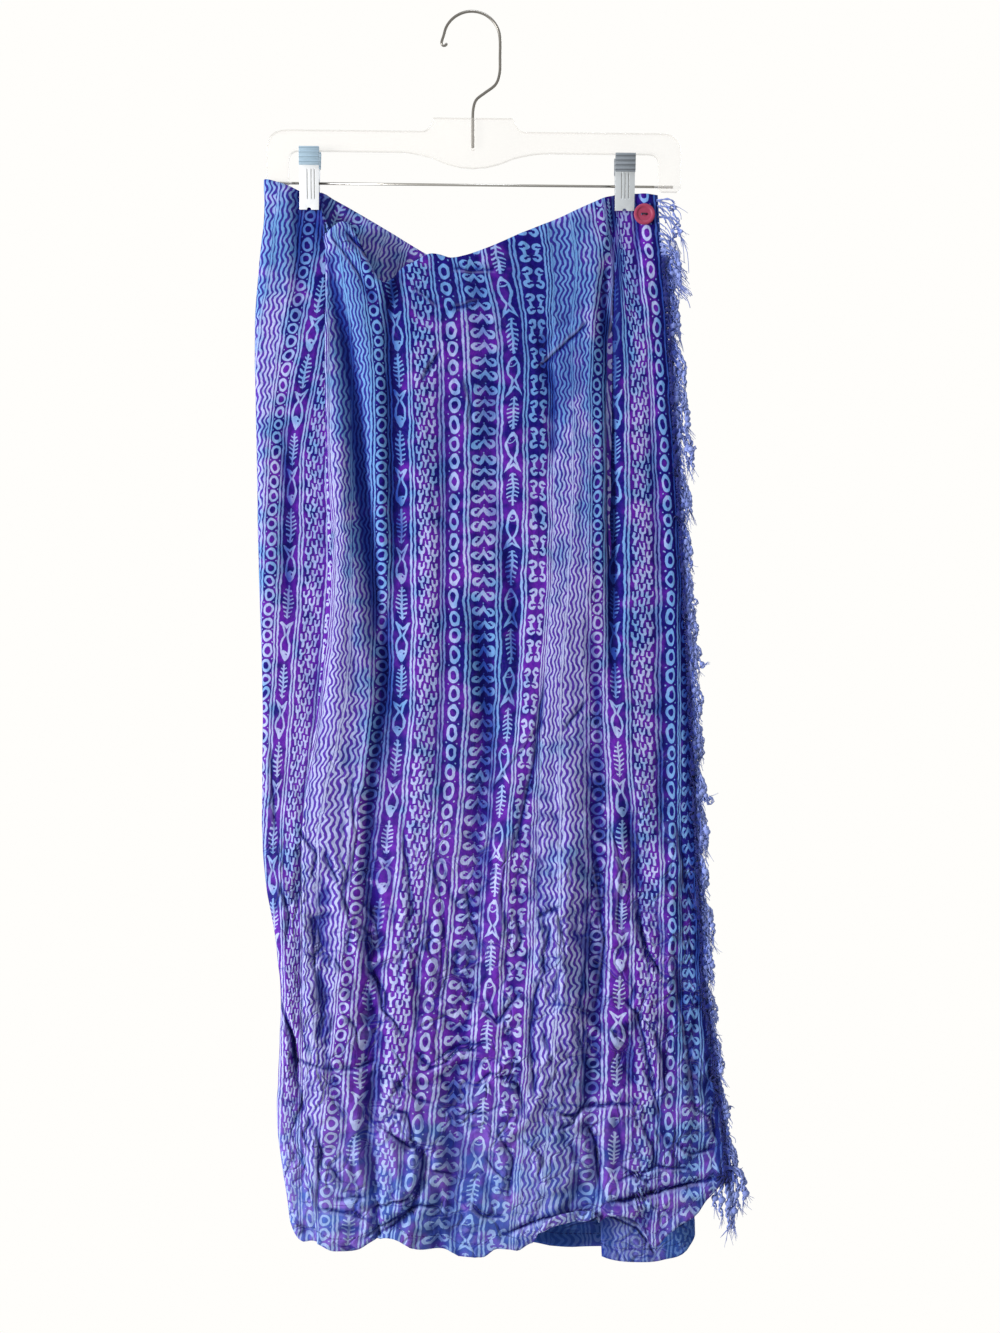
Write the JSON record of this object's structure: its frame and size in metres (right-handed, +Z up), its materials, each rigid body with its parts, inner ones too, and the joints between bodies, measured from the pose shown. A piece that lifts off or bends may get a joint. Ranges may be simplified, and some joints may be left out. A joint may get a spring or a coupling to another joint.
{
  "type": "wrap skirt on a clip hanger",
  "caption": "Ankle-length printed wrap skirt with a fringed outer end and one waist button, hung flat by its waist from a clear clip hanger with a wire hook.",
  "frame": {"origin": "the inner top of the hook's bend, where a nail or a rail carries the hanger", "axes": "+Z up, the skirt hangs along -Z; the front of the skirt faces -Y; +X towards the fringed outer end"},
  "size_m": [0.4188, 0.031, 1.0693],
  "materials": {
    "printed_cloth": "soft woven rayon, batik striped in violet and blue, slightly crumpled",
    "fringe_yarn": "twisted and knotted yarn ends",
    "button": "satin raspberry, slightly worn rim",
    "clear_plastic": "clear moulded plastic",
    "steel_wire": "drawn bright steel",
    "clip_plate": "pressed bright plate",
    "clip_cap": "ribbed grey-blue sleeve"
  },
  "bodies": {
    "root": {"front_panel": "printed_cloth", "back_panel": "printed_cloth", "under_lap": "printed_cloth", "fringe": "fringe_yarn", "button": "button", "hanger_bar": "clear_plastic", "rod": "steel_wire", "hook": "steel_wire", "left_clip_front": "clip_plate", "left_clip_back": "clip_plate", "left_clip_front_cap": "clip_cap", "left_clip_back_cap": "clip_cap", "left_clip_spring": "steel_wire", "right_clip_front": "clip_plate", "right_clip_back": "clip_plate", "right_clip_front_cap": "clip_cap", "right_clip_back_cap": "clip_cap", "right_clip_spring": "steel_wire"}
  },
  "joints": []
}
